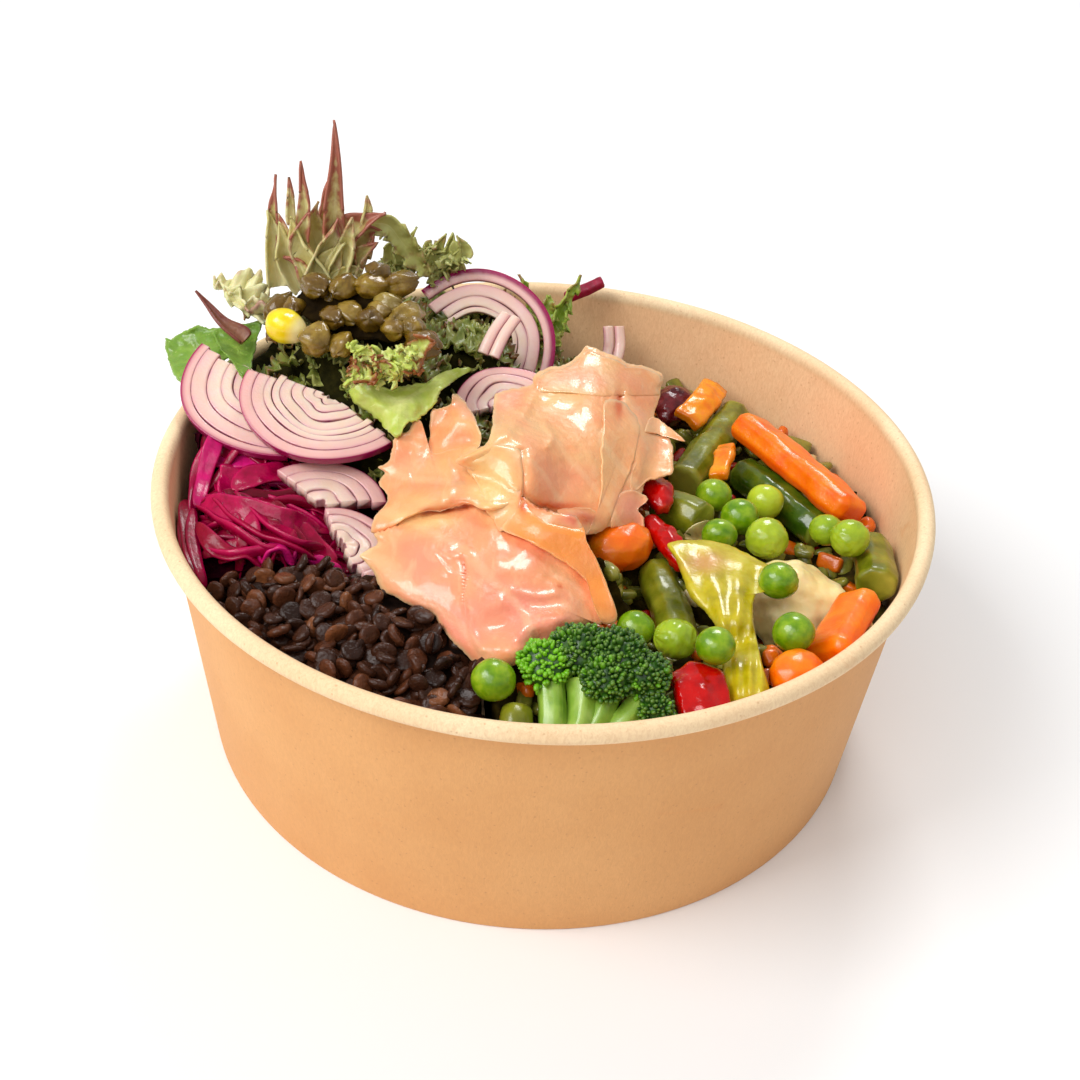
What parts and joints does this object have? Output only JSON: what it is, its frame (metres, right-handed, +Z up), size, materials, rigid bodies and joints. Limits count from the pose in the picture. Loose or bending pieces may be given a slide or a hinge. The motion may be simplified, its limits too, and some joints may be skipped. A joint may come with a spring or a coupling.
{
  "type": "poke bowl",
  "caption": "Rolled-rim brown paper bowl heaped with dark lentils, red cabbage, leafy salad, cooked vegetables, sliced red onion, capers and folded slices of smoked salmon.",
  "frame": {"origin": "on the table, under the middle of the whole object's box; the bowl's own axis is 4.2 mm towards +X of it, because a lettuce leaf hangs over the rim on the -X side", "axes": "+Z up along the bowl's axis, -Y towards the eater (the lentils and the low front rim), +X to the eater's right (the cooked vegetables)"},
  "size_m": [0.1734, 0.165, 0.1163],
  "materials": {
    "brown_paper": "uncoated matt outside, lightly coated inside",
    "black_lentil": "cooked, moist",
    "red_cabbage": "pickled, wet",
    "lettuce": "fresh leaf",
    "lettuce_red": "fresh leaf",
    "vegetable_mix": "cooked",
    "red_onion": "raw, moist",
    "salmon": "smoked, moist",
    "caper": "pickled, wet",
    "sweetcorn": "glossy",
    "pea": "glossy",
    "green_bean": "cooked, glossy",
    "carrot": "cooked, glossy",
    "orange_pepper": "cooked, glossy",
    "red_pepper": "cooked, glossy",
    "beetroot": "glossy",
    "broccoli": "cooked",
    "broccoli_stalk": "cooked, glossy",
    "cauliflower": "cooked"
  },
  "bodies": {
    "root": {"bean_back": "green_bean", "bean_end": "green_bean", "bean_front": "green_bean", "bean_low": "green_bean", "bean_middle": "green_bean", "bean_right": "green_bean", "beet_strip_top": "beetroot", "bowl": "brown_paper", "broccoli": "broccoli", "capers": "caper", "carrot_chunk": "carrot", "carrot_end": "carrot", "carrot_long": "carrot", "carrot_right": "carrot", "cauliflower": "cauliflower", "corn_kernel": "sweetcorn", "kidney_bean": "beetroot", "leaf_back": "lettuce", "leaf_front": "lettuce", "leaf_left": "lettuce", "leaf_pale": "lettuce", "leaf_red": "lettuce_red", "leaf_right": "lettuce", "lentils": "black_lentil", "lettuce_tuft": "lettuce", "onion_arch": "red_onion", "onion_back": "red_onion", "onion_cross": "red_onion", "onion_left": "red_onion", "onion_low": "red_onion", "onion_low_end": "red_onion", "onion_middle": "red_onion", "onion_strip": "red_onion", "pea_1": "pea", "pea_10": "pea", "pea_11": "pea", "pea_12": "pea", "pea_13": "pea", "pea_2": "pea", "pea_3": "pea", "pea_4": "pea", "pea_5": "pea", "pea_6": "pea", "pea_7": "pea", "pea_8": "pea", "pea_9": "pea", "pepper_amber": "orange_pepper", "pepper_orange": "orange_pepper", "pepper_red_front": "red_pepper", "pepper_red_side": "red_pepper", "pepper_red_top": "red_pepper", "red_cabbage": "red_cabbage", "salad_bed": "lettuce", "salmon_fold": "salmon", "salmon_left": "salmon", "salmon_lower": "salmon", "salmon_upper": "salmon", "stalk_fan": "broccoli_stalk", "stalk_lower": "broccoli_stalk", "vegetable_bed": "vegetable_mix"}
  },
  "joints": []
}
